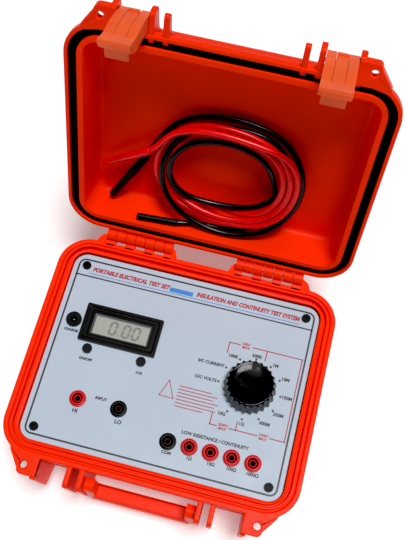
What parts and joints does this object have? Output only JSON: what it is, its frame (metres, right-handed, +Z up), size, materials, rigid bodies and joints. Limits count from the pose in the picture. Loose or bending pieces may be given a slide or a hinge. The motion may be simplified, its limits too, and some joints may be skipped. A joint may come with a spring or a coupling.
{
  "type": "insulation resistance tester",
  "caption": "Portable insulation resistance tester in a hinged hard case, with meter, range knob, push buttons, test sockets and coiled test leads in the lid.",
  "frame": {"origin": "centre of the base's flat underside, midway across the case body", "axes": "+X to the right seen from the front, +Y from the handle towards the hinge, +Z up"},
  "size_m": [0.264, 0.3387, 0.3262],
  "materials": {
    "case": "fine grain",
    "latch": "fine grain",
    "steel": "satin",
    "brass": "satin",
    "seal": "matte",
    "panel": "fine matte print",
    "black_plastic": "semi-matte",
    "black_steel": "satin black",
    "black_gloss": "semi-gloss",
    "red_plastic": "semi-gloss",
    "window": "clear",
    "display": "reflective liquid crystal",
    "circuit_board": "solder mask",
    "phenolic": "moulded",
    "resistor": "lacquered",
    "cell": "printed wrap",
    "lead_black": "satin",
    "lead_red": "satin"
  },
  "bodies": {
    "base": {"base_shell": "case", "hinge_pins": "steel", "pressure_valve": "black_plastic", "front_panel": "panel", "panel_screws": "black_steel", "screw_inserts": "brass", "meter_bezel": "black_plastic", "meter_window": "window", "meter_display": "display", "meter_board": "circuit_board", "charge_socket": "black_plastic", "charge_pin": "steel", "charge_nut": "steel", "power_switch": "black_plastic", "divide_switch": "black_plastic", "switch_nuts": "steel", "hi_socket": "red_plastic", "lo_socket": "black_plastic", "com_socket": "black_plastic", "ohm_sockets": "red_plastic", "socket_contacts": "brass", "socket_nuts": "black_plastic", "switch_body": "phenolic", "switch_nut": "steel", "main_board": "circuit_board", "board_spacers": "steel", "board_screws": "steel", "board_resistors": "resistor", "battery_pack": "cell", "battery_bracket": "steel"},
    "lid": {"lid_shell": "case", "lid_seal": "seal", "latch_pins_left": "steel", "latch_pins_right": "steel", "black_lead_coil": "lead_black", "black_lead_plug_end": "lead_black", "black_lead_sleeve_end": "lead_black", "black_plug": "black_plastic", "black_sleeve": "black_plastic", "red_lead_coil": "lead_red", "red_lead_plug_end": "lead_red", "red_lead_tucked_end": "lead_red", "red_plug": "red_plastic", "red_tucked_plug": "red_plastic"},
    "latch_left": {"latch_yoke_left": "latch", "lever_pin_left": "steel"},
    "latch_right": {"latch_yoke_right": "latch", "lever_pin_right": "steel"},
    "lever_left": {"latch_lever_left": "latch"},
    "lever_right": {"latch_lever_right": "latch"},
    "handle": {"carry_handle": "case", "handle_pins": "steel"},
    "knob": {"range_knob": "black_gloss", "knob_pointer": "black_plastic", "switch_shaft": "steel"},
    "power_button": {"power_button": "black_gloss"},
    "divide_button": {"divide_button": "black_gloss"}
  },
  "joints": [
    {"name": "lid_hinge", "type": "hinge", "parent": "base", "child": "lid", "pos_m": [0, 0.113, 0.0875], "axis": [1, 0, 0], "range_deg": [0, 110]},
    {"name": "latch_left_hinge", "type": "hinge", "parent": "lid", "child": "latch_left", "pos_m": [-0.0777, 0.19619, 0.2956], "axis": [-1, 0, 0], "range_deg": [-4, 110]},
    {"name": "latch_right_hinge", "type": "hinge", "parent": "lid", "child": "latch_right", "pos_m": [0.0777, 0.19619, 0.2956], "axis": [-1, 0, 0], "range_deg": [-4, 110]},
    {"name": "lever_left_hinge", "type": "hinge", "parent": "latch_left", "child": "lever_left", "pos_m": [-0.0777, 0.19117, 0.30276], "axis": [-1, 0, 0], "range_deg": [0, 75]},
    {"name": "lever_right_hinge", "type": "hinge", "parent": "latch_right", "child": "lever_right", "pos_m": [0.0777, 0.19117, 0.30276], "axis": [-1, 0, 0], "range_deg": [0, 75]},
    {"name": "handle_hinge", "type": "hinge", "parent": "base", "child": "handle", "pos_m": [0, -0.113, 0.066], "axis": [-1, 0, 0], "range_deg": [0, 95]},
    {"name": "knob_turn", "type": "hinge", "parent": "base", "child": "knob", "pos_m": [0.0695, 0.0012, 0.0807], "axis": [0, 0, 1], "range_deg": [-210, 90]},
    {"name": "power_button_slide", "type": "slide", "parent": "base", "child": "power_button", "axis": [0, 0, -1], "range_m": [0, 0.0015], "stiffness_N_per_m": 600, "springref_m": -0.001},
    {"name": "divide_button_slide", "type": "slide", "parent": "base", "child": "divide_button", "axis": [0, 0, -1], "range_m": [0, 0.0015], "stiffness_N_per_m": 600, "springref_m": -0.001}
  ]
}
